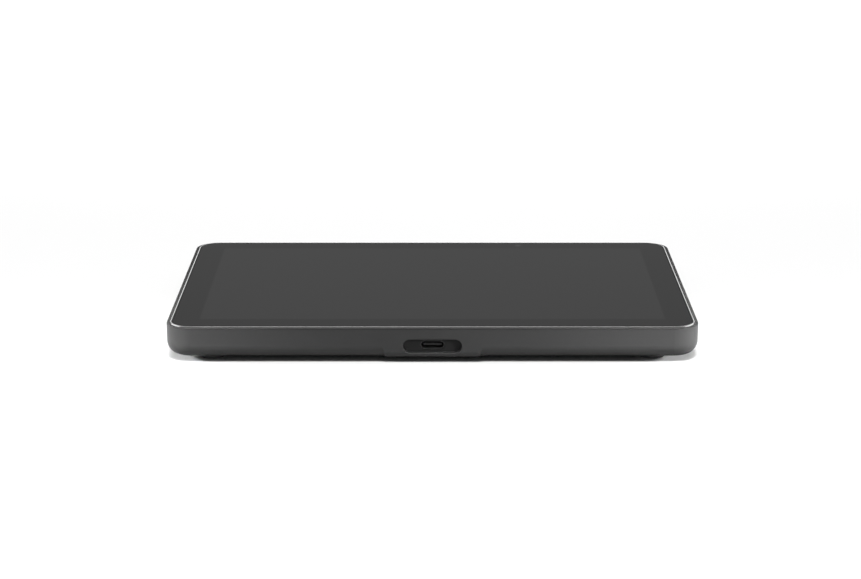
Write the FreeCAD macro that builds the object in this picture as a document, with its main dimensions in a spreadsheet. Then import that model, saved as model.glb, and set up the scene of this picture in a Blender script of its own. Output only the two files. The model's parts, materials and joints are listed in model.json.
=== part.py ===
"""Flat eight-inch smart-home display that lies on four rubber feet.

Frame: millimetres, +X to the right, +Y from the port edge to the button edge, +Z up out of the glass.
The origin is on the table under the middle of the body. Sizes live in the spreadsheet "Sizes".
"""
import FreeCAD, Part

import math
import os
import re

import Sketcher
from FreeCAD import Placement, Rotation, Vector

SIZES = {
    # Outer body
    "body_width": 196,
    "body_depth": 131,
    "corner_radius": 9.5,
    "foot_height": 1.8,
    "shell_height": 11.45,
    "base_fillet": 4.7,
    "rim_fillet": 0.2,
    "floor_thickness": 1.6,
    "wall_thickness": 2.4,
    "floor_fillet": 1.5,
    "play": 0.05,
    # Glass and the polished ring around it
    "rim_width": 1.1,
    "bevel": 0.3,
    "ring_width": 0.65,
    "ring_depth": 1.6,
    "glass_gap": 0.1,
    "glass_thickness": 1.1,
    "glass_chamfer": 0.15,
    # Display stack
    "adhesive_thickness": 0.25,
    "cell_width": 180.5,
    "cell_depth": 114,
    "cell_thickness": 1.2,
    "stack_y": -1.3,
    "film_thickness": 0.4,
    "guide_thickness": 1.2,
    "reflector_thickness": 0.15,
    "tray_sheet": 0.3,
    "tray_border": 1.2,
    "foam_thickness": 0.22,
    # Chassis
    "chassis_inset": 2.6,
    "chassis_rim": 1.6,
    "chassis_plate": 1.1,
    # Port in the front wall
    "port_width": 21.5,
    "port_height": 5.1,
    "port_z": 6.45,
    "port_recess": 2,
    "port_chamfer": 0.15,
    "port_boss_width": 37,
    "port_boss_draft": 1.2,
    "port_boss_round": 3.0,
    "usb_width": 8.94,
    "usb_height": 3.16,
    "usb_length": 7.35,
    "usb_wall": 0.3,
    "usb_setback": 0.6,
    # Buttons in the back wall
    "button_x": -35,
    "button_z": 7,
    "button_pitch": 14,
    "button_width": 10,
    "button_height": 3,
    "scoop_width": 43,
    "scoop_height": 4.6,
    "scoop_depth": 0.6,
    "microphone_offset": 25.5,
    # Feet, screws and mounting inserts
    "foot_radius": 5,
    "foot_recess": 0.6,
    "foot_x": 81.3,
    "foot_y": 54.9,
    "insert_spacing": 75,
    "insert_length": 4,
    "insert_radius": 2.8,
    "insert_bore": 1.65,
    "insert_boss_radius": 4.5,
    # Boards
    "board_thickness": 1,
    "board_width": 64,
    "board_depth": 85,
    "board_y": 12.5,
    "board_gap": 0.2,
    "board_hole_x": 28,
    "connector_height": 1.2,
    "usb_board_thickness": 0.8,
    # Speakers
    "speaker_x": 70,
    "speaker_y": -22,
    "speaker_width": 36,
    "speaker_depth": 44,
    "speaker_wall": 0.8,
    "driver_width": 26,
    "driver_depth": 18,
    "driver_y": -30,
    # Light sensor in the border behind the display
    "sensor_x": 35.8,
    "sensor_y": 58.9,
}

# Heights above the table, as expressions of the sheet
BASE_Z = "foot_height"
FLOOR_Z = "foot_height + floor_thickness"
RIM_Z = "foot_height + shell_height"
TOP_Z = RIM_Z + " + bevel"
GLASS_Z = TOP_Z + " - glass_thickness"
CELL_TOP_Z = GLASS_Z + " - adhesive_thickness"
CELL_Z = CELL_TOP_Z + " - cell_thickness"
FILM_Z = CELL_Z + " - film_thickness"
GUIDE_Z = FILM_Z + " - guide_thickness"
REFLECTOR_Z = GUIDE_Z + " - reflector_thickness"
TRAY_Z = REFLECTOR_Z + " - tray_sheet"
PLATE_TOP_Z = TRAY_Z + " - foam_thickness"
PLATE_Z = PLATE_TOP_Z + " - chassis_plate"
BOARD_Z = PLATE_Z + " - board_gap - board_thickness"
USB_BOARD_Z = "port_z - usb_height / 2 - usb_board_thickness"
CABINET_Z = FLOOR_Z + " + 0.3"
CABINET_TOP_Z = PLATE_Z + " - 0.2"

# Planes measured along Y
FRONT_Y = "-body_depth / 2"
BACK_Y = "body_depth / 2"
BACK_INNER_Y = "body_depth / 2 - wall_thickness"
SWITCH_Y = BACK_INNER_Y + " - 2.2"
BUTTON_BOARD_Y = SWITCH_Y + " - 2"

SIDES = (("left", -1), ("right", 1))
FOOT_CORNERS = (("front_left", -1, -1), ("front_right", 1, -1), ("rear_left", -1, 1), ("rear_right", 1, 1))
BUTTONS = (("mute", -1), ("volume_down", 0), ("volume_up", 1))
BOARD_HOLES = tuple((sx, y) for sx in (-1, 1) for y in ("-22", "51"))
USB_BOARD_HOLES = (-8.5, 8.5)
USB_HOLE_Y = "-50.5"
SPEAKER_EARS = ("-47", "3")

doc = FreeCAD.newDocument("SmartDisplay")
sheet = doc.addObject("Spreadsheet::Sheet", "Sizes")
nodes = {}


# ---------------------------------------------------------------- helpers


def fill_sheet():
    """One row per driving dimension: its name in column A, its number in column B."""
    for row, (alias, number) in enumerate(SIZES.items(), start=1):
        sheet.set(f"A{row}", alias)
        sheet.set(f"B{row}", str(number))
        sheet.setAlias(f"B{row}", alias)
    doc.recompute()


def ex(text):
    """The expression with the sheet's name put in front of each alias."""
    return re.sub(r"[a-z][a-z_]*", lambda m: "Sizes." + m[0] if m[0] in SIZES else m[0], str(text))


def value(text):
    """The expression's value now, in millimetres."""
    return float(sheet.evalExpression(ex(text)))


def bind(thing, **properties):
    """Binds properties of a document object to expressions."""
    for name, text in properties.items():
        thing.setExpression(name, ex(text))
    return thing


def place(thing, x="0", y="0", z="0"):
    """Binds the object's place to expressions."""
    for axis, text in zip("xyz", (x, y, z)):
        thing.setExpression(".Placement.Base." + axis, ex(text))
    return thing


def node(thing, label):
    """Gives the finished sub-part its name and keeps it for the export."""
    thing.Label = label
    nodes[label] = thing
    return thing


def new_body(label):
    """An empty PartDesign body that is a node of the assembly."""
    return node(doc.addObject("PartDesign::Body", label + "_body"), label)


def new_sketch(body, plane="XY", x="0", y="0", z="0"):
    """A sketch on one of the body's origin planes, moved by (x, y) in the plane and z along its normal."""
    sketch = body.newObject("Sketcher::SketchObject", body.Label + "_sketch")
    support = [f for f in body.Origin.OriginFeatures if f.Role == plane + "_Plane"][0]
    sketch.AttachmentSupport = [(support, "")]
    sketch.MapMode = "FlatFace"
    for axis, text in zip("xyz", (x, y, z)):
        sketch.setExpression(".AttachmentOffset.Base." + axis, ex(text))
    return sketch


def dimension(sketch, kind, *where, text):
    """Adds a dimension and binds it to an expression."""
    index = sketch.addConstraint(Sketcher.Constraint(kind, *where, value(text)))
    sketch.setExpression(f"Constraints[{index}]", ex(text))


def rectangle(sketch, width, depth, radius):
    """A rectangle with round corners about the sketch's origin."""
    w, d, r = value(width) / 2, value(depth) / 2, value(radius)
    z_axis = Vector(0, 0, 1)
    corners = ((w - r, -d + r, -90), (w - r, d - r, 0), (-w + r, d - r, 90), (-w + r, -d + r, 180))
    lines = (
        ((-w + r, -d), (w - r, -d)),
        ((w, -d + r), (w, d - r)),
        ((w - r, d), (-w + r, d)),
        ((-w, d - r), (-w, -d + r)),
    )
    for (x1, y1), (x2, y2) in lines:
        sketch.addGeometry(Part.LineSegment(Vector(x1, y1, 0), Vector(x2, y2, 0)))
    for x, y, start in corners:
        circle = Part.Circle(Vector(x, y, 0), z_axis, r)
        sketch.addGeometry(Part.ArcOfCircle(circle, math.radians(start), math.radians(start + 90)))
    ties = []
    for i in range(4):
        arc, following = 4 + i, (i + 1) % 4
        ties.append(Sketcher.Constraint("Tangent", i, 2, arc, 1))
        ties.append(Sketcher.Constraint("Tangent", arc, 2, following, 1))
        ties.append(Sketcher.Constraint("Horizontal" if i % 2 == 0 else "Vertical", i))
    ties += [Sketcher.Constraint("Equal", 4, other) for other in (5, 6, 7)]
    ties.append(Sketcher.Constraint("Symmetric", 4, 3, 6, 3, -1, 1))
    sketch.addConstraint(ties)
    dimension(sketch, "Radius", 4, text=radius)
    dimension(sketch, "DistanceX", 7, 3, 4, 3, text=f"({width}) - 2 * ({radius})")
    dimension(sketch, "DistanceY", 4, 3, 5, 3, text=f"({depth}) - 2 * ({radius})")
    return sketch


def slot(sketch, length, width):
    """An obround along the sketch's x axis, about the sketch's origin."""
    r = value(width) / 2
    c = value(length) / 2 - r
    z_axis = Vector(0, 0, 1)
    sketch.addGeometry(Part.LineSegment(Vector(-c, -r, 0), Vector(c, -r, 0)))
    sketch.addGeometry(Part.LineSegment(Vector(c, r, 0), Vector(-c, r, 0)))
    for x, start in ((c, -90), (-c, 90)):
        circle = Part.Circle(Vector(x, 0, 0), z_axis, r)
        sketch.addGeometry(Part.ArcOfCircle(circle, math.radians(start), math.radians(start + 180)))
    sketch.addConstraint(
        [
            Sketcher.Constraint("Tangent", 0, 2, 2, 1),
            Sketcher.Constraint("Tangent", 2, 2, 1, 1),
            Sketcher.Constraint("Tangent", 1, 2, 3, 1),
            Sketcher.Constraint("Tangent", 3, 2, 0, 1),
            Sketcher.Constraint("Horizontal", 0),
            Sketcher.Constraint("Symmetric", 2, 3, 3, 3, -1, 1),
        ]
    )
    dimension(sketch, "DistanceX", 3, 3, 2, 3, text=f"({length}) - ({width})")
    dimension(sketch, "Radius", 2, text=f"({width}) / 2")
    return sketch


def circle(sketch, radius, x="0", y="0"):
    """A circle about a point of the sketch."""
    index = sketch.addGeometry(Part.Circle(Vector(value(x), value(y), 0), Vector(0, 0, 1), value(radius)))
    dimension(sketch, "Radius", index, text=radius)
    dimension(sketch, "DistanceX", -1, 1, index, 3, text=x)
    dimension(sketch, "DistanceY", -1, 1, index, 3, text=y)
    return sketch


def polygon(sketch, points):
    """A closed outline of straight lines through points given as pairs of expressions."""
    at = [Vector(value(x), value(y), 0) for x, y in points]
    count = len(points)
    first = [sketch.addGeometry(Part.LineSegment(at[i], at[(i + 1) % count])) for i in range(count)][0]
    for i in range(count):
        sketch.addConstraint(Sketcher.Constraint("Coincident", first + i, 2, first + (i + 1) % count, 1))
        dimension(sketch, "DistanceX", -1, 1, first + i, 1, text=points[i][0])
        dimension(sketch, "DistanceY", -1, 1, first + i, 1, text=points[i][1])
    return sketch


def pad(body, sketch, length, reverse=False):
    """Adds material from the sketch, and checks that it did."""
    return extrude(body, "Pad", sketch, length, reverse)


def pocket(body, sketch, length, reverse=False):
    """Cuts material from the sketch, and checks that it did."""
    return extrude(body, "Pocket", sketch, length, reverse)


def extrude(body, kind, sketch, length, reverse):
    before = body.Shape.Volume if body.Tip else 0.0
    feature = body.newObject("PartDesign::" + kind, body.Label + "_" + kind.lower())
    feature.Profile = sketch
    feature.Reversed = reverse
    bind(feature, Length=length)
    body.Tip = feature
    doc.recompute()
    change = body.Shape.Volume - before
    if (change <= 0) if kind == "Pad" else (change >= 0):
        raise RuntimeError(f"{feature.Name} of {body.Label} changed the volume by {change:.3f}")
    return feature


def dress(body, kind, edges, size):
    """A Fillet or Chamfer on the named edges of the body's tip."""
    base = body.Tip
    feature = body.newObject("PartDesign::" + kind, body.Label + "_" + kind.lower())
    feature.Base = (base, edges)
    bind(feature, **{"Radius" if kind == "Fillet" else "Size": size})
    body.Tip = feature
    doc.recompute()
    return feature


def edges_in(body, low, high):
    """Names of the tip's edges that lie wholly between two corners, given in the body's own axes."""
    shape = body.Tip.Shape
    found = []
    for index, edge in enumerate(shape.Edges, start=1):
        box = edge.BoundBox
        inside = box.XMin >= low[0] and box.YMin >= low[1] and box.ZMin >= low[2]
        if inside and box.XMax <= high[0] and box.YMax <= high[1] and box.ZMax <= high[2]:
            found.append(f"Edge{index}")
    if not found:
        raise RuntimeError(f"{body.Label} has no edge between {low} and {high}")
    return found


def level_edges(body, height, reach=500.0):
    """Names of the tip's edges at one height."""
    slack = 0.001
    return edges_in(body, (-reach, -reach, height - slack), (reach, reach, height + slack))


def row_pattern(body, feature, sketch, length, count):
    """Repeats a feature along its sketch's x axis."""
    pattern = body.newObject("PartDesign::LinearPattern", body.Label + "_row")
    pattern.Originals = [feature]
    pattern.Direction = (sketch, ["H_Axis"])
    bind(pattern, Length=length)
    pattern.Occurrences = count
    body.Tip = pattern
    doc.recompute()
    return pattern


def block(x, y, z, width, depth, height):
    """A box centred on (x, y) that stands on z."""
    box = bind(doc.addObject("Part::Box", "Block"), Length=width, Width=depth, Height=height)
    return place(box, f"({x}) - ({width}) / 2", f"({y}) - ({depth}) / 2", z)


def rod(x, y, z, radius, height, along="z"):
    """A cylinder from (x, y, z) that runs along +z or +y."""
    turn = Rotation(Vector(1, 0, 0), -90) if along == "y" else Rotation()
    cylinder = bind(doc.addObject("Part::Cylinder", "Rod"), Radius=radius, Height=height)
    cylinder.Placement = Placement(Vector(0, 0, 0), turn)
    return place(cylinder, x, y, z)


def cut(base, tool):
    result = doc.addObject("Part::Cut", "Cut")
    result.Base, result.Tool = base, tool
    return result


def fuse(*shapes):
    result = doc.addObject("Part::MultiFuse", "Fuse")
    result.Shapes = list(shapes)
    return result


def group(shapes):
    """Several separate solids kept as one node."""
    result = doc.addObject("Part::Compound", "Group")
    result.Links = list(shapes)
    return result


def plate(label, width, depth, radius, z, thickness, y="0"):
    """A flat body with round corners."""
    body = new_body(label)
    place(body, "0", y, z)
    pad(body, rectangle(new_sketch(body), width, depth, radius), thickness)
    return body


def frame(label, width, depth, radius, z, thickness, border):
    """A flat body with round corners and a window that leaves an even border."""
    body = plate(label, width, depth, radius, z, thickness)
    window = new_sketch(body)
    rectangle(window, f"{width} - 2 * ({border})", f"{depth} - 2 * ({border})", f"{radius} - ({border})")
    pocket(body, window, thickness, reverse=True)
    return body


def rounded_path(points, radius):
    """A wire of straight runs through the points, joined by tangent arcs."""
    edges, start = [], points[0]
    for before, corner, after in zip(points, points[1:], points[2:]):
        incoming = (before - corner).normalize()
        outgoing = (after - corner).normalize()
        half_angle = incoming.getAngle(outgoing) / 2
        reach = radius / math.tan(half_angle)
        first, last = corner + incoming * reach, corner + outgoing * reach
        middle = (incoming + outgoing).normalize()
        top = corner + middle * (radius / math.sin(half_angle) - radius)
        edges.append(Part.LineSegment(start, first).toShape())
        edges.append(Part.Arc(first, top, last).toShape())
        start = last
    edges.append(Part.LineSegment(start, points[-1]).toShape())
    return Part.Wire(edges)


def lead(points, bend, radius):
    """A round wire of straight runs and arcs through points in millimetres."""
    path = rounded_path([Vector(*p) for p in points], bend)
    start, direction = path.Edges[0].Vertexes[0].Point, path.Edges[0].tangentAt(path.Edges[0].FirstParameter)
    section = Part.Wire(Part.makeCircle(radius, start, direction))
    return path.makePipeShell([section], True, False)


def ribbon(points, bend, width, thickness):
    """A flat cable that bends in the YZ plane: points are (x, y, z) in millimetres, x the middle of its width."""
    path = rounded_path([Vector(*p) for p in points], bend)
    start, direction = path.Edges[0].Vertexes[0].Point, path.Edges[0].tangentAt(path.Edges[0].FirstParameter)
    across, up = Vector(width / 2, 0, 0), Vector(1, 0, 0).cross(direction).normalize() * (thickness / 2)
    corners = [start + across + up, start - across + up, start - across - up, start + across - up]
    section = Part.makePolygon(corners + corners[:1])
    return path.makePipeShell([section], True, False)


def shaped(label, shape):
    """A node whose shape is a swept cable."""
    feature = doc.addObject("Part::Feature", label + "_shape")
    feature.Shape = shape
    return node(feature, label)


# ---------------------------------------------------------------- outer body


def port_boss(body):
    """A flat patch of front wall under the port, straight down to the base where the edge is round elsewhere."""
    half, top = "port_boss_width / 2", "base_fillet + 0.5"
    foot = f"{half} - port_boss_draft"
    sketch = new_sketch(body, "XZ", z="body_depth / 2")
    polygon(sketch, [(f"-({foot})", "0"), (foot, "0"), (half, top), (f"-{half}", top)])
    pad(body, sketch, "base_fillet + 1.5", reverse=True)
    x, y = value(foot) + 0.1, value(FRONT_Y)
    dress(body, "Fillet", edges_in(body, (-x, y - 0.01, -0.01), (x, y + 0.01, 0.01)), "port_boss_round")


def floor_relief(body, x, width, side):
    """Squares off the cavity's floor fillet at the front (-1) or back (+1) wall, where parts stand close to it."""
    depth = "floor_fillet + 0.1"
    y = f"{side} * (body_depth / 2 - wall_thickness - ({depth}) / 2)"
    sketch = new_sketch(body, "XY", x, y, "shell_height")
    rectangle(sketch, width, depth, "0.05")
    pocket(body, sketch, "shell_height - floor_thickness")


def floor_boss(body, places, radius, height):
    """Round bosses that stand on the cavity's floor."""
    sketch = new_sketch(body, "XY", z="floor_thickness")
    for x, y in places:
        circle(sketch, radius, x, y)
    pad(body, sketch, height)


def floor_holes(body, places, radius, start, depth):
    """Round holes that go up from a height measured from the base."""
    sketch = new_sketch(body, "XY", z=start)
    for x, y in places:
        circle(sketch, radius, x, y)
    pocket(body, sketch, depth, reverse=True)


def rear_housing():
    """The tub: floor, walls, rounded base edge, bosses and every opening in it."""
    body = new_body("rear_housing")
    place(body, z=BASE_Z)
    pad(body, rectangle(new_sketch(body), "body_width", "body_depth", "corner_radius"), "shell_height")
    dress(body, "Fillet", level_edges(body, 0.0), "base_fillet")
    dress(body, "Fillet", level_edges(body, value("shell_height")), "rim_fillet")
    port_boss(body)

    cavity = new_sketch(body, z="shell_height")
    inner_radius = "corner_radius - wall_thickness"
    rectangle(cavity, "body_width - 2 * wall_thickness", "body_depth - 2 * wall_thickness", inner_radius)
    pocket(body, cavity, "shell_height - floor_thickness")
    dress(body, "Fillet", level_edges(body, value("floor_thickness")), "floor_fillet")
    floor_relief(body, "0", "27.4", -1)
    floor_relief(body, "button_x", "60", 1)

    ledge = new_sketch(body, z="shell_height")
    rectangle(ledge, "body_width - 2 * rim_width", "body_depth - 2 * rim_width", "corner_radius - rim_width")
    pocket(body, ledge, "ring_depth - bevel")

    port = slot(new_sketch(body, "XZ", "0", "port_z - foot_height", "body_depth / 2"), "port_width", "port_height")
    pocket(body, port, "wall_thickness + 0.2")
    front = value(FRONT_Y)
    reach = value("port_width") / 2 + 0.1
    low = value("port_z - foot_height - port_height / 2") - 0.01
    high = value("port_z - foot_height + port_height / 2") + 0.01
    mouth = edges_in(body, (-reach, front - 0.01, low), (reach, front + 0.01, high))
    dress(body, "Chamfer", mouth, "port_chamfer")

    button_level = "button_z - foot_height"
    scoop = new_sketch(body, "XZ", "button_x", button_level, "-body_depth / 2")
    pocket(body, slot(scoop, "scoop_width", "scoop_height"), "scoop_depth", reverse=True)
    for _, step in BUTTONS:
        hole = new_sketch(body, "XZ", f"button_x + {step} * button_pitch", button_level, "-body_depth / 2")
        pocket(body, slot(hole, "button_width", "button_height"), "wall_thickness + 0.2", reverse=True)
    for side in (-1, 1):
        hole = new_sketch(body, "XZ", f"button_x + {side} * microphone_offset", button_level, "-body_depth / 2")
        pocket(body, circle(hole, "0.45"), "wall_thickness + 0.2", reverse=True)

    half = "insert_spacing / 2"
    inserts = [(f"{sx} * {half}", f"{sy} * {half}") for sx in (-1, 1) for sy in (-1, 1)]
    feet = [(f"{sx} * foot_x", f"{sy} * foot_y") for _, sx, sy in FOOT_CORNERS]
    speaker_screws = [(f"{sx} * speaker_x", y) for _, sx in SIDES for y in SPEAKER_EARS]
    usb_screws = [(str(x), USB_HOLE_Y) for x in USB_BOARD_HOLES]
    floor_boss(body, inserts, "insert_boss_radius", "insert_length - floor_thickness + 1")
    floor_boss(body, feet, "4", "1.4")
    floor_boss(body, speaker_screws, "2", "0.8")
    floor_boss(body, usb_screws, "2", USB_BOARD_Z + " - foot_height - floor_thickness")
    floor_holes(body, inserts, "insert_radius + play", "0", "insert_length")
    floor_holes(body, feet, "foot_radius + 0.2", "0", "foot_recess")
    floor_holes(body, feet, "2.6", "foot_recess", "1.2")
    floor_holes(body, feet, "1.4", "foot_recess", "3")
    floor_holes(body, speaker_screws, "0.75", "0.6", "3")
    floor_holes(body, usb_screws, "0.75", "0.6", "3")

    pitch, count = 3.2, 6
    for _, side in SIDES:
        first = f"{side} * speaker_x - {pitch * (count - 1) / 2}"
        slit = new_sketch(body, x=first, y="driver_y")
        rectangle(slit, "1.4", "14", "0.69")
        cutter = pocket(body, slit, "floor_thickness", reverse=True)
        row_pattern(body, cutter, slit, str(pitch * (count - 1)), count)


def trim_ring():
    """The polished ring between the rim and the glass, with its bevel facing out."""
    inset = "rim_width + play / 2"
    body = frame(
        "trim_ring",
        f"body_width - 2 * ({inset})",
        f"body_depth - 2 * ({inset})",
        f"corner_radius - ({inset})",
        RIM_Z + " - ring_depth + bevel",
        "ring_depth",
        "ring_width",
    )
    top = value("ring_depth")
    outer = []
    for name in level_edges(body, top):
        box = body.Tip.Shape.getElement(name).BoundBox
        edge_x, edge_y = value(f"body_width / 2 - ({inset})"), value(f"body_depth / 2 - ({inset})")
        if max(abs(box.XMin), abs(box.XMax)) > edge_x - 0.1 or max(abs(box.YMin), abs(box.YMax)) > edge_y - 0.1:
            outer.append(name)
    dress(body, "Chamfer", outer, "bevel")


def cover_glass():
    inset = "rim_width + ring_width + glass_gap"
    body = plate(
        "cover_glass",
        f"body_width - 2 * ({inset})",
        f"body_depth - 2 * ({inset})",
        f"corner_radius - ({inset})",
        GLASS_Z,
        "glass_thickness",
    )
    dress(body, "Chamfer", level_edges(body, value("glass_thickness")), "glass_chamfer")


def feet():
    """Four glued rubber discs, each over the head of a housing screw."""
    for corner, sx, sy in FOOT_CORNERS:
        body = new_body("foot_" + corner)
        place(body, f"{sx} * foot_x", f"{sy} * foot_y")
        pad(body, circle(new_sketch(body), "foot_radius"), "foot_height + foot_recess")
        dress(body, "Fillet", level_edges(body, 0.0), "0.9")


def mount_inserts():
    """Four M4 brass inserts moulded into the floor, on the common square pattern."""
    made = []
    for sx in (-1, 1):
        for sy in (-1, 1):
            x, y = f"{sx} * insert_spacing / 2", f"{sy} * insert_spacing / 2"
            outer = rod(x, y, BASE_Z, "insert_radius", "insert_length")
            made.append(cut(outer, rod(x, y, BASE_Z, "insert_bore", "insert_length")))
    node(group(made), "mount_inserts")


# ---------------------------------------------------------------- port


def port_bezel():
    """The dark insert at the back of the port's recess, with the connector's opening in it."""
    body = new_body("port_bezel")
    place(body, "0", FRONT_Y + " + port_recess", "port_z")
    front = slot(new_sketch(body, "XZ"), "port_width - 2 * play", "port_height - 2 * play")
    pad(body, front, "wall_thickness - port_recess + 0.5", reverse=True)
    flange = new_sketch(body, "XZ", "0", "0.24", "-(wall_thickness - port_recess + play)")
    pad(body, rectangle(flange, "26", "5.7", "1"), "0.95", reverse=True)
    mouth = slot(new_sketch(body, "XZ"), "usb_width + 3 * play", "usb_height + 3 * play")
    pocket(body, mouth, "5")


def usb_c_shell():
    """The receptacle's steel tube."""
    body = new_body("usb_c_shell")
    place(body, "0", FRONT_Y + " + port_recess + usb_setback", "port_z")
    pad(body, slot(new_sketch(body, "XZ"), "usb_width", "usb_height"), "usb_length", reverse=True)
    bore = slot(new_sketch(body, "XZ"), "usb_width - 2 * usb_wall", "usb_height - 2 * usb_wall")
    pocket(body, bore, "usb_length")


def usb_c_tongue():
    """The receptacle's plastic core: a block at the back and the thin tongue."""
    body = new_body("usb_c_tongue")
    place(body, "0", FRONT_Y + " + port_recess + usb_setback + usb_length - 2.2", "port_z")
    core = slot(new_sketch(body, "XZ"), "usb_width - 2 * usb_wall - play", "usb_height - 2 * usb_wall - play")
    pad(body, core, "2.15", reverse=True)
    pad(body, rectangle(new_sketch(body, "XZ"), "6.69", "0.7", "0.15"), "4.4")


def usb_board():
    body = plate("usb_board", "22", "13.9", "1", USB_BOARD_Z, "usb_board_thickness", y=FRONT_Y + " + 10.6")
    holes = new_sketch(body, y=f"{USB_HOLE_Y} - ({FRONT_Y} + 10.6)")
    for x in USB_BOARD_HOLES:
        circle(holes, "0.9", str(x))
    pocket(body, holes, "usb_board_thickness", reverse=True)


# ---------------------------------------------------------------- display


def display_stack():
    """Every layer from the touch film down to the backlight's tray."""
    film_y, film_depth = "stack_y - 0.2", "cell_depth + 2.6"
    plate("touch_sensor", "184", film_depth, "1", CELL_TOP_Z, "adhesive_thickness", y=film_y)
    plate("lcd_panel", "cell_width", "cell_depth", "0.6", CELL_Z, "cell_thickness", y="stack_y")

    tray_width, tray_depth = "cell_width - 2 * tray_border", "cell_depth - 2 * tray_border"
    inner_width, inner_depth = f"{tray_width} - 2 * tray_sheet", f"{tray_depth} - 2 * tray_sheet"
    led_room = "1.4"
    guide_depth, guide_y = f"{inner_depth} - {led_room} - 0.4", f"stack_y + {led_room} / 2"
    plate("diffuser_films", f"{inner_width} - 0.4", f"{inner_depth} - 0.4", "0.5", FILM_Z, "film_thickness", y="stack_y")
    plate("light_guide", f"{inner_width} - 0.4", guide_depth, "0.5", GUIDE_Z, "guide_thickness", y=guide_y)
    plate("reflector_film", f"{inner_width} - 0.4", guide_depth, "0.5", REFLECTOR_Z, "reflector_thickness", y=guide_y)

    tray_height = "tray_sheet + reflector_thickness + guide_thickness + film_thickness"
    tray = plate("backlight_tray", tray_width, tray_depth, "1", TRAY_Z, tray_height, y="stack_y")
    inside = rectangle(new_sketch(tray, z=tray_height), inner_width, inner_depth, "0.7")
    pocket(tray, inside, f"{tray_height} - tray_sheet")

    strip_y = f"stack_y - ({inner_depth}) / 2 + 0.2"
    pieces = [block("0", strip_y, REFLECTOR_Z + " + 0.1", "172", "0.15", "1.2")]
    count, pitch = 24, 7
    for i in range(count):
        x = (i - (count - 1) / 2) * pitch
        pieces.append(block(str(x), strip_y + " + 0.475", REFLECTOR_Z + " + 0.3", "3.2", "0.8", "0.9"))
    node(group(pieces), "backlight_led_strip")

    pads = [block("0", f"{sy} * 42", PLATE_TOP_Z, "150", "4", "foam_thickness") for sy in (-1, 1)]
    pads += [block(f"{sx} * 80", "0", PLATE_TOP_Z, "4", "62", "foam_thickness") for sx in (-1, 1)]
    node(group(pads), "display_foam_pads")


def glass_adhesive():
    inset = "chassis_inset"
    frame(
        "glass_adhesive",
        f"body_width - 2 * {inset}",
        f"body_depth - 2 * {inset}",
        f"corner_radius - {inset}",
        CELL_TOP_Z,
        "adhesive_thickness",
        "chassis_rim",
    )


def chassis():
    """The die-cast tray that carries the display in front and the main board behind."""
    width, depth = "body_width - 2 * chassis_inset", "body_depth - 2 * chassis_inset"
    radius = "corner_radius - chassis_inset"
    height = f"({CELL_TOP_Z}) - ({PLATE_Z})"
    body = plate("chassis", width, depth, radius, PLATE_Z, height)
    inside = new_sketch(body, z=height)
    rectangle(inside, f"{width} - 2 * chassis_rim", f"{depth} - 2 * chassis_rim", f"{radius} - chassis_rim")
    pocket(body, inside, f"{height} - chassis_plate")

    def notch(x, low_y, high_y, across, up):
        sketch = new_sketch(body, x=x, y=f"(({low_y}) + ({high_y})) / 2")
        rectangle(sketch, across, f"({high_y}) - ({low_y})", "0.4")
        pocket(body, sketch, up, reverse=True)

    notch("0", FRONT_Y + " + 1.6", FRONT_Y + " + 15.5", "27.2", "2.3")
    notch("button_x", BUTTON_BOARD_Y + " - 1.4", BACK_Y, "58", "2.2")
    notch("-25", FRONT_Y + " + 4.3", FRONT_Y + " + 7.5", "13", "chassis_plate")
    notch("25", FRONT_Y + " + 4.3", FRONT_Y + " + 6.5", "9", "chassis_plate")
    notch("sensor_x - 6.6", "56.2", "61", "1.8", "chassis_plate")

    feet_at = [(f"{sx} * foot_x", f"{sy} * foot_y") for _, sx, sy in FOOT_CORNERS]
    board_at = [(f"{sx} * board_hole_x", y) for sx, y in BOARD_HOLES]
    drop = f"({PLATE_Z}) - ({FLOOR_Z}) - 1.4"
    for places, size, length in ((feet_at, "3", drop), (board_at, "2.2", "board_gap")):
        sketch = new_sketch(body)
        for x, y in places:
            circle(sketch, size, x, y)
        pad(body, sketch, length, reverse=True)
    for places, size, down, length in (
        (feet_at, "1.25 + play", f"-({drop})", f"{drop} + 0.8"),
        (board_at, "0.7 + play", "-board_gap", "board_gap + 1"),
    ):
        sketch = new_sketch(body, z=down)
        for x, y in places:
            circle(sketch, size, x, y)
        pocket(body, sketch, length, reverse=True)


# ---------------------------------------------------------------- fasteners


def screw(x, y, seat, head_radius, head_height, shank_radius, length, up):
    """A flat-headed screw with a hexagon socket. The head's seat is at height seat, and the shank runs up or down."""
    head_z = f"({seat}) - ({head_height})" if up else seat
    shank_z = seat if up else f"({seat}) - ({length})"
    socket_z = head_z if up else f"({seat}) + ({head_height}) / 2"
    whole = fuse(rod(x, y, head_z, head_radius, head_height), rod(x, y, shank_z, shank_radius, length))
    socket = doc.addObject("Part::Prism", "Socket")
    socket.Polygon = 6
    bind(socket, Circumradius=f"({head_radius}) * 0.5", Height=f"({head_height}) / 2")
    place(socket, x, y, socket_z)
    return cut(whole, socket)


def screws():
    """The four long screws under the feet and the ten small ones inside."""
    seat = "foot_height + foot_recess + 1.2"
    made = []
    for _, sx, sy in FOOT_CORNERS:
        x, y = f"{sx} * foot_x", f"{sy} * foot_y"
        made.append(screw(x, y, seat, "2.4", "1.1", "1.25", "4.3", up=True))
    node(group(made), "housing_screws")

    small = {"head_radius": "1.5", "head_height": "0.8", "shank_radius": "0.7"}
    made = [screw(f"{sx} * board_hole_x", y, BOARD_Z, **small, length="2.1", up=True) for sx, y in BOARD_HOLES]
    for _, sx in SIDES:
        for y in SPEAKER_EARS:
            made.append(screw(f"{sx} * speaker_x", y, FLOOR_Z + " + 2", **small, length="2.8", up=False))
    for x in USB_BOARD_HOLES:
        made.append(screw(str(x), USB_HOLE_Y, USB_BOARD_Z + " + usb_board_thickness", **small, length="2", up=False))
    node(group(made), "self_tapping_screws")


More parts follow.
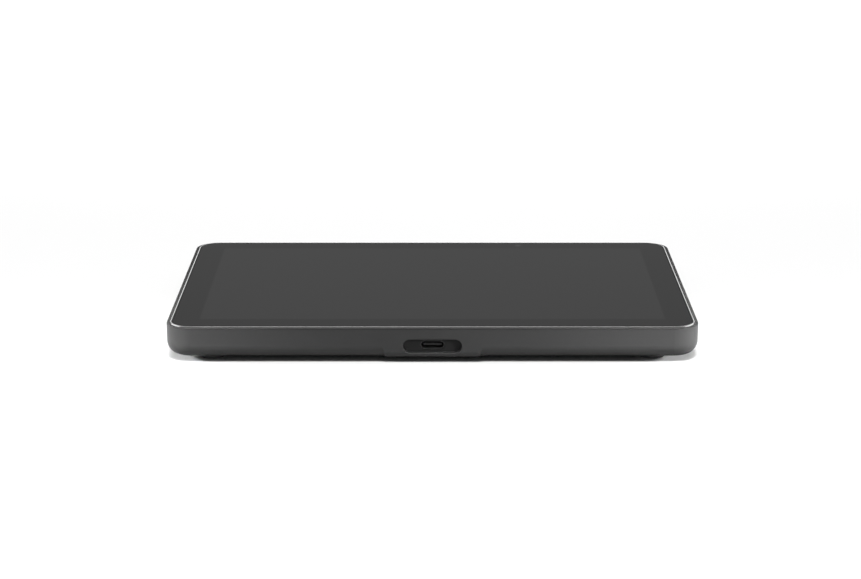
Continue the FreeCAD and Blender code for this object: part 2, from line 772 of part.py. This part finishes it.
# ---------------------------------------------------------------- electronics


def under_board(x, y, width, depth, height):
    """A component soldered to the underside of the main board."""
    return block(x, y, f"({BOARD_Z}) - ({height})", width, depth, height)


def main_board():
    body = plate("main_board", "board_width", "board_depth", "2", BOARD_Z, "board_thickness", y="board_y")
    holes = new_sketch(body, y="-board_y")
    for sx, y in BOARD_HOLES:
        circle(holes, "0.9", f"{sx} * board_hole_x", y)
    pocket(body, holes, "board_thickness", reverse=True)
    notch = new_sketch(body, x="board_width / 2", y="board_depth / 2 - 30")
    pocket(body, rectangle(notch, "8", "10", "1"), "board_thickness", reverse=True)


def board_components():
    """Chips, radio modules, coils, capacitors and connectors under the main board, and the cooling."""
    node(under_board("-13", "8", "13", "13", "1.2"), "soc_chip")
    node(group([under_board("2", "8", "9", "12.5", "1"), under_board("20", "6", "11.5", "13", "1")]), "memory_chips")

    can_height, sheet_metal = "1.8", "0.2"
    can = new_body("shield_can")
    place(can, "-6.5", "8", f"({BOARD_Z}) - {can_height}")
    pad(can, rectangle(new_sketch(can), "31", "22", "1"), can_height)
    hollow = rectangle(new_sketch(can, z=can_height), "30.6", "21.6", "0.8")
    pocket(can, hollow, f"{can_height} - {sheet_metal}")

    node(block("-13", "8", f"({BOARD_Z}) - 1.6", "13", "13", "0.4"), "soc_thermal_pad")
    spreader_top = FLOOR_Z + " + 0.3"
    pad_height = f"({BOARD_Z}) - {can_height} - ({spreader_top})"
    node(block("-6.5", "8", spreader_top, "26", "18", pad_height), "shield_thermal_pad")
    plate("heat_spreader", "60", "78", "3", FLOOR_Z, "0.3", y="board_y")

    node(under_board("13", "32", "12", "12", "1.6"), "wifi_module")
    node(under_board("-15", "34", "10", "8", "1.4"), "mesh_radio_module")

    coils = [under_board(str(x), "-12", "4", "4", "1.8") for x in (-20, -14, -8)]
    capacitors = [under_board(str(x), "-12", "1.6", "3.2", "1.5") for x in (3, 6.5, 10, 13.5)]
    node(group(coils + capacitors), "power_components")

    front_row = "-28.05"
    sockets = [("-25", front_row, "13"), ("0", front_row, "12"), ("25", front_row, "9")]
    sockets += [("-14", "51.5", "8"), ("19", "51.2", "6")]
    made = [under_board(x, y, width, "3.5", "connector_height") for x, y, width in sockets]
    made += [under_board(f"{side} * 28", "-10", "3", "4", "1.6") for side in (-1, 1)]
    made += [under_board(f"{side} * 24", "25", "2.4", "2.4", "1.2") for side in (-1, 1)]
    made.append(block("0", "-50.2", USB_BOARD_Z + " + usb_board_thickness", "12", "3", "connector_height"))
    node(group(made), "ffc_connectors")


def flat_cables():
    """The ribbons that join the boards and the display, as straight runs and arcs."""
    x = 25.0
    thickness, bend = 0.2, 0.6
    board_run_z = value(BOARD_Z) - 0.6
    board_edge = -29.8
    cell_edge = value("stack_y - cell_depth / 2")
    cell_z = value(CELL_Z + " + cell_thickness / 2")
    down_y = value(FRONT_Y + " + 6")
    points = [(-x, cell_edge, cell_z), (-x, down_y, cell_z), (-x, down_y, board_run_z), (-x, board_edge, board_run_z)]
    shaped("lcd_flex", ribbon(points, bend, 12.0, thickness))

    film_edge = value("stack_y - 0.2 - (cell_depth + 2.6) / 2")
    film_z = value(CELL_TOP_Z + " + adhesive_thickness / 2")
    down_y = value(FRONT_Y + " + 5")
    points = [(x, film_edge, film_z), (x, down_y, film_z), (x, down_y, board_run_z), (x, board_edge, board_run_z)]
    shaped("touch_flex", ribbon(points, 0.3, 8.0, thickness))

    start_z = value(USB_BOARD_Z + " + usb_board_thickness + 0.6")
    points = [(0, -48.7, start_z), (0, -43.0, start_z), (0, -36.0, board_run_z), (0, board_edge, board_run_z)]
    shaped("usb_flex", ribbon(points, 3.0, 10.0, thickness))

    top_z = board_run_z
    flex_start = 53.25
    flex_end = f"({BUTTON_BOARD_Y} - 1)"
    flex_middle = f"({flex_start} + {flex_end}) / 2"
    flex_length = f"{flex_end} - {flex_start}"
    node(block("-14", flex_middle, str(top_z - 0.1), "6", flex_length, "0.2"), "button_flex")


def sensor_parts():
    """The light sensor's board in the border of the display, its light pipe and its cable."""
    board_z = PLATE_TOP_Z
    board = block("sensor_x", "sensor_y", board_z, "8", "4.4", "0.8")
    chip = block("sensor_x", "sensor_y", board_z + " + 0.8", "2.2", "2.2", "0.7")
    node(group([board, chip]), "sensor_board")

    pipe_z = board_z + " + 1.6"
    node(rod("sensor_x", "sensor_y", pipe_z, "1.4", f"({GLASS_Z}) - ({pipe_z})"), "light_pipe")

    low_z = f"{BOARD_Z} - 0.7"
    left = "sensor_x - 6.7"
    upper = block("sensor_x - 5.35", "58.6", board_z + " + 0.3", "2.7", "3.6", "0.15")
    drop = block(f"{left} + 0.075", "58.6", low_z, "0.15", "3.6", f"({board_z} + 0.45) - ({low_z})")
    along = block(f"({left} + 0.15 + 17) / 2", "58.6", low_z, f"{left} + 0.15 - 17", "3.6", "0.15")
    back = block("19", "56.675", low_z, "4", "7.45", "0.15")
    node(fuse(upper, drop, along, back), "sensor_flex")


# ---------------------------------------------------------------- sound, buttons and radio


def speaker(name, side):
    """A closed cabinet with the driver set in its floor, above the slits of the housing."""
    x = f"{side} * speaker_x"
    height = f"({CABINET_TOP_Z}) - ({CABINET_Z})"
    outer = block(x, "speaker_y", CABINET_Z, "speaker_width", "speaker_depth", height)
    ears = [block(x, f"({y}) * 0.9 + speaker_y * 0.1", FLOOR_Z + " + 0.8", "6", "10", "1.2") for y in SPEAKER_EARS]
    wall = "speaker_wall"
    air = block(
        x, "speaker_y", f"{CABINET_Z} + {wall}", f"speaker_width - 2 * {wall}", f"speaker_depth - 2 * {wall}",
        f"{height} - 2 * {wall}",
    )
    mouth = block(x, "driver_y", CABINET_Z, "driver_width + 4 * play", "driver_depth + 4 * play", "1.2")
    shell = cut(fuse(outer, *ears), fuse(air, mouth))
    holes = fuse(*[rod(x, y, FLOOR_Z, "0.9", "3") for y in SPEAKER_EARS])
    node(cut(shell, holes), f"speaker_{name}_enclosure")

    driver = new_body(f"speaker_{name}_driver")
    place(driver, x, "driver_y", CABINET_Z)
    pad(driver, rectangle(new_sketch(driver), "driver_width", "driver_depth", "3"), "1.1")
    pad(driver, circle(new_sketch(driver, z="1.1"), "5.5"), "1")
    pocket(driver, rectangle(new_sketch(driver), "driver_width - 4", "driver_depth - 4", "2.4"), "0.5", reverse=True)
    pad(driver, circle(new_sketch(driver, z="0.2"), "4"), "0.35")


def speaker_meshes_and_wires():
    meshes = [block(f"{side} * speaker_x", "driver_y", FLOOR_Z, "22", "16", "0.2") for _, side in SIDES]
    node(group(meshes), "speaker_meshes")

    wires, gap, height = [], 0.45, value(FLOOR_Z + " + 1.7")
    cabinet_edge = value("speaker_x - speaker_width / 2")
    for _, side in SIDES:
        for offset in (-gap, gap):
            y = -20.0 + offset
            route = [(cabinet_edge, y), (44.0, y), (36.0 + offset, -10.0 + offset), (29.6, -10.0 + offset)]
            wires.append(lead([(side * px, py, height) for px, py in route], 2.5, 0.35))
    shaped("speaker_wires", Part.Compound(wires))


def key_cap(name, step):
    """A button: the cap in the wall, the flange that keeps it in, and the stem that reaches its switch."""
    body = new_body(name + "_button")
    x = f"button_x + {step} * button_pitch"
    place(body, x, BACK_Y + " - 0.2", "button_z")
    cap = slot(new_sketch(body, "XZ"), "button_width - 0.24", "button_height - 0.24")
    pad(body, cap, "wall_thickness - 0.1")
    dress(body, "Fillet", edges_in(body, (-20, -0.001, -20), (20, 0.001, 20)), "0.25")
    flange = rectangle(new_sketch(body, "XZ", z="wall_thickness - 0.1"), "12", "4", "1")
    pad(body, flange, "0.8")
    pad(body, circle(new_sketch(body, "XZ", z="wall_thickness + 0.7"), "1.2"), "0.45")
    marks = {"mute": [("0.9", "0.9")], "volume_down": [("1.5", "0.34")], "volume_up": [("1.5", "0.34"), ("0.34", "1.5")]}
    for width, height in marks[name]:
        pocket(body, rectangle(new_sketch(body, "XZ"), width, height, "0.16"), "0.15", reverse=True)
    plunger_y = f"{BACK_Y} - 0.2 - wall_thickness - 1.15"
    node(rod(x, f"{plunger_y} - 1.55", "button_z", "0.8", "1.55", along="y"), name + "_plunger")


def button_parts():
    """The upright board behind the back wall, with its switches and microphones."""
    centre = "button_x"
    board = block(centre, BUTTON_BOARD_Y + " - 0.5", "button_z - 2.1", "56", "1", "4.4")
    node(board, "button_board")
    switches = []
    for _, step in BUTTONS:
        x = f"{centre} + {step} * button_pitch"
        case = block(x, BUTTON_BOARD_Y + " + 1", "button_z - 1.7", "4.6", "2", "3.4")
        switches.append(cut(case, rod(x, BUTTON_BOARD_Y + " + 0.7", "button_z", "0.9", "1.3", along="y")))
    node(group(switches), "tact_switches")

    microphones, boots = [], []
    boot_y = BUTTON_BOARD_Y + " + 1"
    for side in (-1, 1):
        x = f"{centre} + {side} * microphone_offset"
        microphones.append(block(x, BUTTON_BOARD_Y + " + 0.5", "button_z - 1.3", "3.5", "1", "2.6"))
        length = f"{BACK_INNER_Y} - ({boot_y})"
        outer = rod(x, boot_y, "button_z", "1.9", length, along="y")
        boots.append(cut(outer, rod(x, boot_y, "button_z", "0.5", length, along="y")))
    node(group(microphones), "microphones")
    node(group(boots), "mic_boots")


def radio_parts():
    """Two flexible antennas on the floor and the coaxial leads to the board."""
    antennas = [block(f"{side} * 76", "25", FLOOR_Z, "26", "10", "0.2") for _, side in SIDES]
    node(group(antennas), "antennas")
    cables, low, high = [], value(FLOOR_Z + " + 0.2 + 0.55"), value(BOARD_Z + " - 0.7")
    for _, side in SIDES:
        route = [(66.0, 25.0, low), (54.0, 23.0, low), (42.0, 26.0, low), (34.0, 25.0, high), (25.2, 25.0, high)]
        cables.append(lead([(side * x, y, z) for x, y, z in route], 3.0, 0.5))
    shaped("antenna_cables", Part.Compound(cables))


# ---------------------------------------------------------------- build and export


def build():
    fill_sheet()
    rear_housing()
    trim_ring()
    cover_glass()
    feet()
    mount_inserts()
    port_bezel()
    usb_c_shell()
    usb_c_tongue()
    usb_board()
    glass_adhesive()
    display_stack()
    chassis()
    screws()
    main_board()
    board_components()
    flat_cables()
    sensor_parts()
    for name, side in SIDES:
        speaker(name, side)
    speaker_meshes_and_wires()
    for name, step in BUTTONS:
        key_cap(name, step)
    button_parts()
    radio_parts()
    doc.recompute()


def check():
    """Stops the build if any object failed or any sub-part isn't made of valid closed solids."""
    failed = [o.Label for o in doc.Objects if set(o.State) & {"Invalid", "Error"}]
    for label, thing in nodes.items():
        shape = thing.Shape
        if shape.isNull() or not shape.isValid() or not shape.Solids or shape.Volume <= 0:
            failed.append(label)
    if failed:
        raise RuntimeError("these objects failed: " + ", ".join(failed))


def export():
    os.makedirs("parts", exist_ok=True)
    for label, thing in nodes.items():
        thing.Shape.exportStep(os.path.join("parts", label + ".step"))
    print(len(nodes), "nodes written")


build()
check()
export()
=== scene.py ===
import json
import math

import bpy
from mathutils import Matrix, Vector


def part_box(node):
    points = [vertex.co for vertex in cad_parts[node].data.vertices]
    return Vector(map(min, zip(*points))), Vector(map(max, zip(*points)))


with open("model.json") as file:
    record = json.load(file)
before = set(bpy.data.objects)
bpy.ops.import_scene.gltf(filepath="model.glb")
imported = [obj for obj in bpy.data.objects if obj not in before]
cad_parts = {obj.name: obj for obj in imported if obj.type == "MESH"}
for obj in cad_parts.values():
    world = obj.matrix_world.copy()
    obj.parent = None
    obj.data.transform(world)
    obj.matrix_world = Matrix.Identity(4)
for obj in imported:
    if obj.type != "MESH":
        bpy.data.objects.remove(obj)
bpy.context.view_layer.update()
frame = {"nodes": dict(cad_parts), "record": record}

NODES = frame["nodes"]

# Half width, half depth and corner radius, in metres, of rounded rectangles of the top view.
LIT_AREA = (0.0861, 0.0538, 0.0006)
GROUND_EDGE = (0.0958, 0.0633, 0.0073)
GLUE_LINE = (0.09633, 0.06383, 0.00783)
SENSOR_RADIUS = 0.0013
RIM_Z = 0.01289  # the cut rim of the housing starts here


# ---------------------------------------------------------------- node materials


class Maker:
    """Builds one node material: sockets are made left to right and joined by name."""

    def __init__(self, name):
        self.material = bpy.data.materials.new(name)
        self.material.use_nodes = True
        self.tree = self.material.node_tree
        self.shader = self.tree.nodes["Principled BSDF"]
        self.place = self.add("ShaderNodeTexCoord").outputs["Object"]

    def add(self, kind, inputs=(), **settings):
        """A node with its settings and its inputs, each a number, a colour or another node's socket."""
        node = self.tree.nodes.new(kind)
        for key, value in settings.items():
            setattr(node, key, value)
        for key, value in dict(inputs).items():
            self.join(node.inputs[key], value)
        return node

    def join(self, socket, value):
        if isinstance(value, bpy.types.NodeSocket):
            self.tree.links.new(value, socket)
        else:
            socket.default_value = value

    def set(self, **inputs):
        """Sets the shader's sockets: Base_Color stands for "Base Color"."""
        for key, value in inputs.items():
            self.join(self.shader.inputs[key.replace("_", " ")], value)

    def noise(self, scale, detail=3.0, rough=0.5, stretch=(1, 1, 1), distortion=0.0):
        """Fractal noise from 0 to 1; scale is the count of blobs in a metre."""
        spot = self.add("ShaderNodeMapping", {"Vector": self.place, "Scale": stretch}).outputs["Vector"]
        node = self.add(
            "ShaderNodeTexNoise",
            {"Vector": spot, "Scale": scale, "Detail": detail, "Roughness": rough, "Distortion": distortion},
        )
        return node.outputs["Fac"]

    def voronoi(self, scale, stretch=(1, 1, 1)):
        """Distance to the nearest of scattered points, scale of them in a metre."""
        spot = self.add("ShaderNodeMapping", {"Vector": self.place, "Scale": stretch}).outputs["Vector"]
        return self.add("ShaderNodeTexVoronoi", {"Vector": spot, "Scale": scale}).outputs["Distance"]

    def wave(self, scale, direction="X"):
        """Straight bands across the given axis."""
        node = self.add(
            "ShaderNodeTexWave",
            {"Vector": self.place, "Scale": scale, "Distortion": 0.0},
            wave_type="BANDS",
            bands_direction=direction,
            wave_profile="SIN",
        )
        return node.outputs["Fac"]

    def spread(self, fac, low, high, start=0.0, stop=1.0):
        """Maps fac between start and stop to the numbers low and high."""
        inputs = {"Value": fac, "From Min": start, "From Max": stop, "To Min": low, "To Max": high}
        return self.add("ShaderNodeMapRange", inputs).outputs["Result"]

    def mix(self, fac, a, b):
        """A colour between a and b."""
        node = self.add("ShaderNodeMix", data_type="RGBA")
        for index, value in ((0, fac), (6, a), (7, b)):
            self.join(node.inputs[index], value)
        return node.outputs[2]

    def math(self, operation, a, b=0.0):
        return self.add("ShaderNodeMath", {0: a, 1: b}, operation=operation).outputs[0]

    def xyz(self):
        return self.add("ShaderNodeSeparateXYZ", {"Vector": self.place}).outputs

    def length(self, a, b):
        return self.math("SQRT", self.math("ADD", self.math("MULTIPLY", a, a), self.math("MULTIPLY", b, b)))

    def bump(self, height, depth, strength=1.0):
        """Relief of the given depth in metres."""
        inputs = {"Height": height, "Distance": depth, "Strength": strength}
        return self.add("ShaderNodeBump", inputs).outputs["Normal"]


def grey(level):
    return (level, level, level, 1.0)


def shade(colour, factor):
    """The colour made darker or paler, with its alpha kept at 1."""
    return tuple(c * factor for c in colour[:3]) + (1.0,)


def moulded(name, colour, rough, mottling=0.06, specular=0.5):
    """Moulded plastic: a fine spark-eroded grain, faint cloudiness and an uneven sheen."""
    m = Maker(name)
    cloud = m.noise(35, 4)
    m.set(
        Base_Color=m.mix(cloud, shade(colour, 1 - mottling), shade(colour, 1 + mottling)),
        Roughness=m.spread(m.noise(180, 3), rough - 0.04, rough + 0.04),
        Specular_IOR_Level=specular,
        Normal=m.bump(m.noise(5200, 2, 0.6), 0.00002, 0.6),
    )
    return m


def metal(name, colour, rough, brush=(1, 1, 1), brush_scale=900, depth=0.000004):
    """Metal with fine lines or grain, and patches a little duller than the rest."""
    m = Maker(name)
    lines = m.noise(brush_scale, 4, 0.6, brush)
    m.set(
        Base_Color=m.mix(m.spread(lines, 0, 1, 0.3, 0.7), shade(colour, 0.86), colour),
        Metallic=1.0,
        Roughness=m.spread(m.noise(60, 3), rough * 0.8, rough * 1.25),
        Normal=m.bump(lines, depth, 0.5),
    )
    return m


def housing():
    """Bead-blasted anodised shell: dark grey, satin, with a fine even grain, and darker on the cut rim, where
    painted shade stands for the shadow in the seam under the trim ring.
    """
    m = Maker("housing_satin")
    cloud = m.noise(22, 3)
    speckle = m.noise(7000, 1, 0.5)
    base = m.mix(m.spread(cloud, 0, 1, 0.3, 0.7), grey(0.018), grey(0.021))
    satin = m.mix(m.spread(speckle, 0, 1, 0.35, 0.65), grey(0.0165), base)
    # below_rim is 0 on the rim above RIM_Z: there grey(0.008) is painted shade of the seam under the trim ring,
    # with a rougher surface and no grain.
    below_rim = m.spread(m.xyz()[2], 1, 0, RIM_Z - 0.00004, RIM_Z + 0.00004)
    sheen = m.spread(m.noise(140, 3), 0.38, 0.44)
    m.set(
        Base_Color=m.mix(below_rim, grey(0.008), satin),
        Roughness=m.math("MAXIMUM", sheen, m.spread(below_rim, 0.75, 0.0)),
        Specular_IOR_Level=0.1,
        Normal=m.bump(speckle, 0.000012, m.math("MULTIPLY", below_rim, 0.5)),
    )
    return m


def window_mask(m, half_width, half_depth, radius, blur):
    """1 inside a rounded rectangle of the top view, 0 outside it."""
    x, y, _ = m.xyz()
    dx = m.math("SUBTRACT", m.math("ABSOLUTE", x), half_width - radius)
    dy = m.math("SUBTRACT", m.math("ABSOLUTE", y), half_depth - radius)
    away = m.length(m.math("MAXIMUM", dx), m.math("MAXIMUM", dy))
    return m.spread(away, 1.0, 0.0, radius - blur, radius + blur)


def disc_mask(m, centre, radius, blur):
    """1 inside a circle of the top view, 0 outside it."""
    x, y, _ = m.xyz()
    away = m.length(m.math("SUBTRACT", x, centre[0]), m.math("SUBTRACT", y, centre[1]))
    return m.spread(away, 1.0, 0.0, radius - blur, radius + blur)


def cover_glass():
    """Glass over a switched-off panel: black print at the border, a slightly paler polariser inside it, the round
    window of the light sensor, and a matt black edge where the glass is ground and glued."""
    m = Maker("cover_glass_print")
    low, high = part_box("light_pipe")
    sensor = ((low[0] + high[0]) / 2, (low[1] + high[1]) / 2)
    lit = window_mask(m, *LIT_AREA, 0.00012)
    inside = window_mask(m, *GROUND_EDGE, 0.00006)
    dot = disc_mask(m, sensor, SENSOR_RADIUS, 0.00012)
    weave = m.math("MULTIPLY", m.wave(2600, "X"), m.wave(2600, "Y"))
    panel = m.mix(weave, grey(0.018), grey(0.019))
    border = m.mix(m.noise(60, 2), grey(0.0088), grey(0.0094))
    colour = m.mix(dot, m.mix(lit, border, panel), grey(0.04))
    m.set(
        Base_Color=m.mix(inside, grey(0.002), colour),
        Roughness=m.math("MAXIMUM", m.spread(m.noise(14, 3), 0.09, 0.12), m.spread(inside, 0.8, 0.0)),
        Specular_IOR_Level=0.5,
        Normal=m.bump(m.noise(9000, 1), 0.0000015, 0.4),
    )
    return m


def trim():
    """Diamond-cut edge: bright metal with the cutter's fine lines along it, black where it meets the glass."""
    m = Maker("trim_polished")
    lines = m.noise(2400, 3, 0.6)
    glued = window_mask(m, *GLUE_LINE, 0.00003)
    m.set(
        Base_Color=m.mix(glued, m.mix(lines, grey(0.50), grey(0.60)), grey(0.01)),
        Metallic=1.0,
        Roughness=m.spread(m.noise(16, 2), 0.17, 0.20),
        Normal=m.bump(lines, 0.0000004, 0.3),
    )
    return m


def rubber():
    m = Maker("foot_rubber")
    fine = m.noise(3800, 2)
    dust = m.noise(300, 4)
    m.set(
        Base_Color=m.mix(m.spread(dust, 0, 1, 0.4, 0.8), grey(0.018), grey(0.032)),
        Roughness=m.spread(fine, 0.68, 0.82),
        Specular_IOR_Level=0.35,
        Normal=m.bump(fine, 0.00004, 0.6),
    )
    return m


def circuit_board():
    """Solder mask with copper tracks under it."""
    m = Maker("circuit_board")
    tracks = m.add(
        "ShaderNodeTexBrick",
        {"Vector": m.place, "Scale": 240.0, "Mortar Size": 0.06, "Mortar Smooth": 0.3, "Bias": 0.0},
        offset=0.5,
    ).outputs["Fac"]
    vias = m.spread(m.voronoi(520), 1, 0, 0.12, 0.16)
    mask = m.mix(m.noise(80, 3), (0.010, 0.055, 0.030, 1), (0.014, 0.070, 0.038, 1))
    colour = m.mix(m.spread(tracks, 0, 0.6), mask, (0.030, 0.12, 0.055, 1))
    m.set(
        Base_Color=m.mix(vias, colour, (0.55, 0.42, 0.20, 1)),
        Roughness=m.spread(m.noise(500, 2), 0.30, 0.42),
        Normal=m.bump(tracks, 0.00002, 0.4),
    )
    return m


def knurled_brass():
    m = Maker("insert_brass")
    ribs = m.voronoi(1700, (1, 1, 0.4))
    m.set(
        Base_Color=m.mix(m.noise(700, 3), (0.62, 0.43, 0.18, 1), (0.78, 0.58, 0.28, 1)),
        Metallic=1.0,
        Roughness=m.spread(m.noise(400, 3), 0.24, 0.40),
        Normal=m.bump(ribs, 0.00006, 0.5),
    )
    return m


def mesh_cloth():
    """Woven dust mesh behind the speaker slits."""
    m = Maker("dust_mesh")
    weave = m.math("MAXIMUM", m.wave(1300, "X"), m.wave(1300, "Y"))
    m.set(
        Base_Color=m.mix(m.spread(weave, 0, 1, 0.3, 1.0), grey(0.004), grey(0.05)),
        Roughness=m.spread(weave, 0.9, 0.6),
        Normal=m.bump(weave, 0.0001, 0.8),
    )
    return m


def film(name, colour, rough, clear=0.0):
    """Thin film or clear acrylic with a faint unevenness."""
    m = Maker(name)
    swirl = m.noise(70, 4, distortion=0.6)
    m.set(
        Base_Color=m.mix(swirl, shade(colour, 0.94), colour),
        Roughness=m.spread(m.noise(240, 3), rough * 0.85, rough * 1.15),
        Transmission_Weight=clear,
        Normal=m.bump(swirl, 0.00001, 0.3),
    )
    return m


def ribbed(name, dark, light, scale, rough, direction="X"):
    """Flat cable: straight copper lines under a polyimide film."""
    m = Maker(name)
    lines = m.wave(scale, direction)
    m.set(
        Base_Color=m.mix(m.spread(lines, 0, 1, 0.35, 0.65), dark, light),
        Roughness=m.spread(m.noise(300, 3), rough - 0.05, rough + 0.05),
        Normal=m.bump(lines, 0.00002, 0.5),
    )
    return m


def foam(name, level):
    m = Maker(name)
    cells = m.voronoi(2600)
    m.set(
        Base_Color=m.mix(cells, grey(level * 0.6), grey(level * 1.4)),
        Roughness=m.spread(m.noise(400, 2), 0.8, 0.95),
        Normal=m.bump(cells, 0.0001, 0.8),
    )
    return m


MAKERS = {
    "housing": housing,
    "trim": trim,
    "cover_glass": cover_glass,
    "port_plastic": lambda: moulded("port_plastic", grey(0.0075), 0.6, specular=0.08),
    "keys": lambda: moulded("key_plastic", grey(0.034), 0.42),
    "rubber": rubber,
    "steel": lambda: metal("plated_steel", grey(0.62), 0.3, (1, 6, 1)),
    "black_steel": lambda: metal("black_nickel", grey(0.045), 0.5, (1, 6, 1)),
    "brass": knurled_brass,
    "connector_core": lambda: moulded("connector_core", grey(0.016), 0.6, specular=0.1),
    "adhesive": lambda: foam("foam_tape", 0.02),
    "touch_film": lambda: film("touch_film", (0.25, 0.27, 0.28, 1), 0.1, 0.6),
    "lcd_glass": lambda: film("polariser", (0.018, 0.02, 0.024, 1), 0.22),
    "optical_film": lambda: film("diffuser_film", (0.80, 0.81, 0.82, 1), 0.35),
    "acrylic": lambda: film("clear_acrylic", (0.85, 0.88, 0.90, 1), 0.06, 0.8),
    "reflector": lambda: film("reflector_film", (0.88, 0.88, 0.88, 1), 0.3),
    "tray_steel": lambda: metal("tray_sheet", grey(0.6), 0.32, (12, 1, 1)),
    "led_strip": lambda: moulded("lamp_row", (0.75, 0.68, 0.32, 1), 0.4),
    "foam": lambda: foam("display_foam", 0.04),
    "chassis": lambda: metal("die_cast", (0.40, 0.41, 0.42, 1), 0.5, (1, 1, 1), 1500, 0.00003),
    "circuit_board": circuit_board,
    "chip": lambda: moulded("chip_resin", grey(0.02), 0.45),
    "shield": lambda: metal("tinned_sheet", grey(0.66), 0.3, (1, 9, 1)),
    "thermal_pad": lambda: moulded("thermal_pad", (0.36, 0.44, 0.55, 1), 0.7),
    "graphite": lambda: metal("graphite_sheet", grey(0.09), 0.42),
    "component": lambda: moulded("component_body", (0.20, 0.15, 0.11, 1), 0.5, mottling=0.2),
    "socket": lambda: moulded("socket_plastic", (0.55, 0.53, 0.46, 1), 0.5),
    "flat_cable": lambda: ribbed("flat_cable", (0.22, 0.09, 0.02, 1), (0.50, 0.25, 0.07, 1), 1600, 0.35),
    "speaker_box": lambda: moulded("speaker_box", grey(0.025), 0.55),
    "speaker_cone": lambda: foam("speaker_cone", 0.06),
    "mesh": mesh_cloth,
    "wire": lambda: moulded("wire_jacket", (0.28, 0.02, 0.02, 1), 0.4),
    "switch": lambda: moulded("switch_case", grey(0.05), 0.5),
    "microphone": lambda: metal("microphone_can", (0.70, 0.60, 0.38, 1), 0.3),
    "light_pipe": lambda: film("light_pipe", (0.80, 0.82, 0.84, 1), 0.12, 0.7),
    "antenna": lambda: ribbed("antenna_film", (0.26, 0.12, 0.03, 1), (0.50, 0.27, 0.08, 1), 500, 0.4, "Y"),
    "coax": lambda: moulded("coax_jacket", grey(0.03), 0.45),
}


def dress_nodes():
    """Gives every CAD node the material of its slot in the record."""
    made = {slot: maker().material for slot, maker in MAKERS.items()}
    for part in frame["record"]["subparts"]:
        mesh = NODES[part["node"]].data
        mesh.materials.clear()
        mesh.materials.append(made[part["material_slot"]])


# ---------------------------------------------------------------- floor, lights and camera


def floor():
    """A large pale sheet under the object."""
    half = 4.0
    mesh = bpy.data.meshes.new("floor")
    mesh.from_pydata([(-half, -half, 0), (half, -half, 0), (half, half, 0), (-half, half, 0)], [], [(0, 1, 2, 3)])
    sheet = bpy.data.objects.new("floor", mesh)
    bpy.context.scene.collection.objects.link(sheet)
    m = Maker("floor_paper")
    m.set(
        Base_Color=m.mix(m.noise(3, 3), grey(0.83), grey(0.84)),
        Roughness=m.spread(m.noise(40, 2), 0.85, 0.95),
        Specular_IOR_Level=0.2,
    )
    mesh.materials.append(m.material)
    return sheet


def softbox(name, place, aim, width, height, watts, spread=180):
    """A rectangular light that faces its aim; sizes in metres, spread in degrees."""
    data = bpy.data.lights.new(name, "AREA")
    data.shape, data.size, data.size_y, data.energy = "RECTANGLE", width, height, watts
    data.spread = math.radians(spread)
    light = bpy.data.objects.new(name, data)
    bpy.context.scene.collection.objects.link(light)
    light.location = place
    light.rotation_euler = (Vector(aim) - Vector(place)).to_track_quat("-Z", "Y").to_euler()
    light.visible_camera = False
    return light


def flag(light, *shaded, keep=False):
    """Keeps a light off the given objects, as a black flag does in a studio, or with keep off everything else."""
    screen = bpy.data.collections.new(light.name + "_flag")
    light.light_linking.receiver_collection = screen
    for item in shaded:
        screen.objects.link(item)
    for entry in screen.collection_objects:
        entry.light_linking.link_state = "INCLUDE" if keep else "EXCLUDE"


def lights(sheet):
    """A main light high in front, lights that shape only the housing, and lights for the ring alone."""
    world = bpy.data.worlds.new("studio")
    bpy.context.scene.world = world
    world.use_nodes = True
    background = world.node_tree.nodes["Background"].inputs
    background["Color"].default_value = grey(1)
    background["Strength"].default_value = 0.2
    glass, ring = NODES["cover_glass"], NODES["trim_ring"]
    flag(softbox("main", (0.0, -1.05, 2.25), (0, 0, 0), 0.8, 0.8, 73), ring)
    softbox("far_floor", (0.0, 1.05, 2.0), (0, 1.05, 0), 1.6, 0.3, 7, 50)
    housing_only = (  # name, place, aim, width, height, watts, spread in degrees
        ("key_low", (0.0, -1.8, 0.75), (0, 0, 0), 1.0, 0.6, 17, 180),
        ("left_box", (-0.26, -0.20, 0.26), (-0.125, -0.065, 0.008), 0.06, 0.06, 0.22, 24),
        ("right_box", (0.26, -0.20, 0.26), (0.135, -0.065, 0.008), 0.06, 0.06, 0.34, 34),
        ("right_fill", (0.34, -0.30, 0.20), (0.11, -0.065, 0.008), 0.12, 0.12, 0.32, 50),
        ("back_fill", (0.0, 1.35, 2.1), (0, 0, 0), 1.2, 0.8, 75, 180),
        ("left_fill", (-1.6, 0.4, 1.5), (0, 0, 0), 0.8, 0.6, 26, 180),
        ("right_back_fill", (1.6, 0.4, 1.5), (0, 0, 0), 0.8, 0.6, 26, 180),
    )
    for row in housing_only:
        flag(softbox(*row), sheet, glass, ring)
    skims = (
        ("left_skim", (-0.55, -0.02, 0.14), (-0.095, -0.055, 0.0), 0.06, 0.06, 0.035, 14),
        ("right_skim", (0.60, -0.02, 0.105), (0.095, -0.055, 0.0), 0.06, 0.06, 0.045, 14),
    )
    for row in skims:
        flag(softbox(*row), glass, ring)
    ring_only = (
        ("ring_strip", (0.0, 1.9, 0.53), (0, 0, 0.01), 0.9, 0.3, 1.25),
        ("left_glow", (-1.2, 0.6, 1.0), (0, 0, 0.01), 1.1, 1.1, 5),
        ("right_glow", (1.2, 0.6, 1.0), (0, 0, 0.01), 1.1, 1.1, 5),
    )
    for row in ring_only:
        flag(softbox(*row), ring, keep=True)


def camera():
    """In front of the object, 15 degrees above it, with a long lens."""
    bpy.context.scene.view_settings.view_transform = "Standard"
    data = bpy.data.cameras.new("camera")
    data.sensor_width, data.lens = 36.0, 95.39
    data.clip_start, data.clip_end = 0.05, 20.0
    cam = bpy.data.objects.new("camera", data)
    bpy.context.scene.collection.objects.link(cam)
    cam.location = (-0.0007, -0.8655, 0.2434)
    cam.rotation_euler = (math.radians(90 - 15.067), 0, 0)
    bpy.context.scene.camera = cam


camera()
dress_nodes()
lights(floor())
